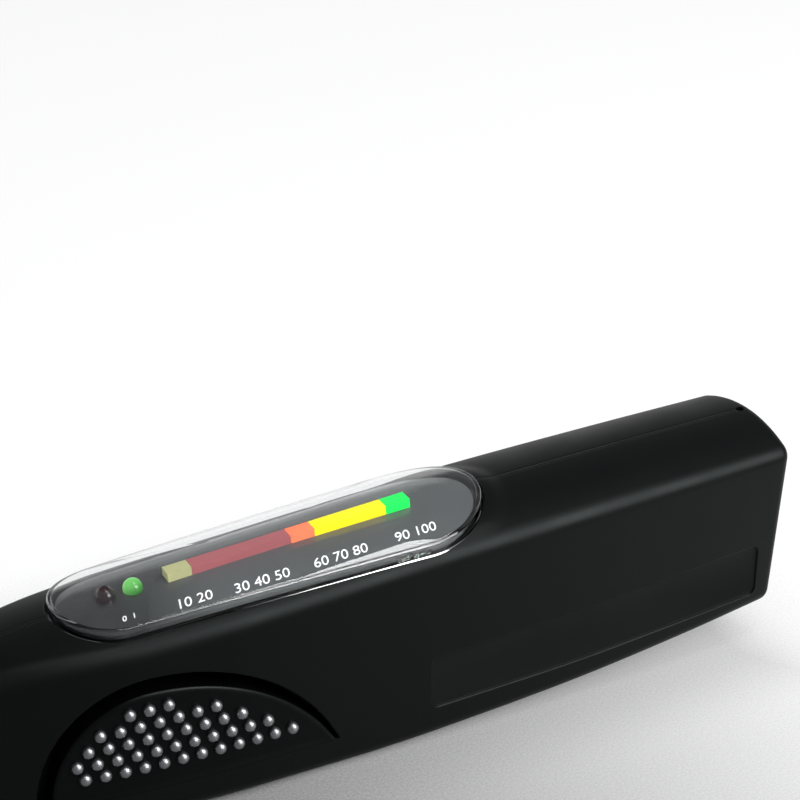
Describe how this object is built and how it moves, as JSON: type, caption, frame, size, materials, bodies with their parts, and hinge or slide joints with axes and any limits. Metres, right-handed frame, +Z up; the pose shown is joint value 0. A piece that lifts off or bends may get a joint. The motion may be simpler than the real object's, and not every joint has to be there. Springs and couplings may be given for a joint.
{
  "type": "diamond tester",
  "caption": "Pen-shaped thermal gem tester with a sprung probe, a domed display over a light bar, studded grips and a sliding battery lid.",
  "frame": {"origin": "middle of the overall box, at the height of the flat belly the tester rests on", "axes": "+X from the probe's tip to the tail, +Y to the tester's right side, +Z up"},
  "size_m": [0.1805, 0.0274, 0.0385],
  "materials": {
    "case": "fine satin grain, black",
    "window": "clear moulded plastic, polished",
    "panel": "glossy grey with fine printed marks",
    "lamp_green": "lit, clear green",
    "lamp_red_dark": "unlit, dark red",
    "light_yellow": "lit, diffused yellow",
    "light_orange": "lit, diffused orange",
    "light_red": "dimly lit, diffused red",
    "light_pale": "dimly lit, pale yellow-green",
    "grip": "fine matt grain, black",
    "stud": "bright plated",
    "board": "green solder mask",
    "component": "moulded black",
    "cell": "plain printed jacket",
    "contact": "plated spring steel",
    "copper_tip": "bare copper, lightly worn",
    "brass_tube": "turned",
    "lead_red": "insulated wire, red",
    "lead_black": "insulated wire, black",
    "screw": "zinc plated"
  },
  "bodies": {
    "case": {"left_shell": "case", "right_shell": "case", "nose_cone": "case", "display_lens": "window", "display_plate": "panel", "ready_led": "lamp_green", "bar_range_5": "lamp_green", "warning_led": "lamp_red_dark", "bar_range_4": "light_yellow", "bar_range_3": "light_orange", "bar_range_2": "light_red", "bar_range_1": "light_pale", "left_grip_pad": "grip", "right_grip_pad": "grip", "left_grip_contact": "stud", "right_grip_contact": "stud", "main_board": "board", "controller_chip": "component", "buzzer": "component", "power_switch": "component", "battery_1": "cell", "battery_2": "cell", "battery_3": "cell", "battery_contact_front": "contact", "battery_contact_rear": "contact", "probe_spring": "contact", "probe_bush": "contact", "probe_housing": "brass_tube", "battery_lead_plus": "lead_red", "battery_lead_minus": "lead_black", "probe_cable": "lead_black", "shell_screw_1": "screw", "shell_screw_2": "screw", "shell_screw_3": "screw", "shell_screw_4": "screw"},
    "power_button": {"power_button": "grip"},
    "probe": {"probe_plunger": "contact", "probe_tip": "copper_tip"},
    "battery_lid": {"battery_cover": "case"}
  },
  "joints": [
    {"name": "button_press", "type": "slide", "parent": "case", "child": "power_button", "axis": [0.0645, 0, -0.9979], "range_m": [0, 0.0005], "stiffness_N_per_m": 400, "springref_m": -0.001},
    {"name": "probe_retract", "type": "slide", "parent": "case", "child": "probe", "axis": [1, 0, 0], "range_m": [0, 0.0025], "stiffness_N_per_m": 300, "springref_m": -0.002, "deforming": ["probe_spring"]},
    {"name": "lid_slide", "type": "slide", "parent": "case", "child": "battery_lid", "axis": [0.9945, 0, 0.105], "range_m": [0, 0.06]}
  ]
}
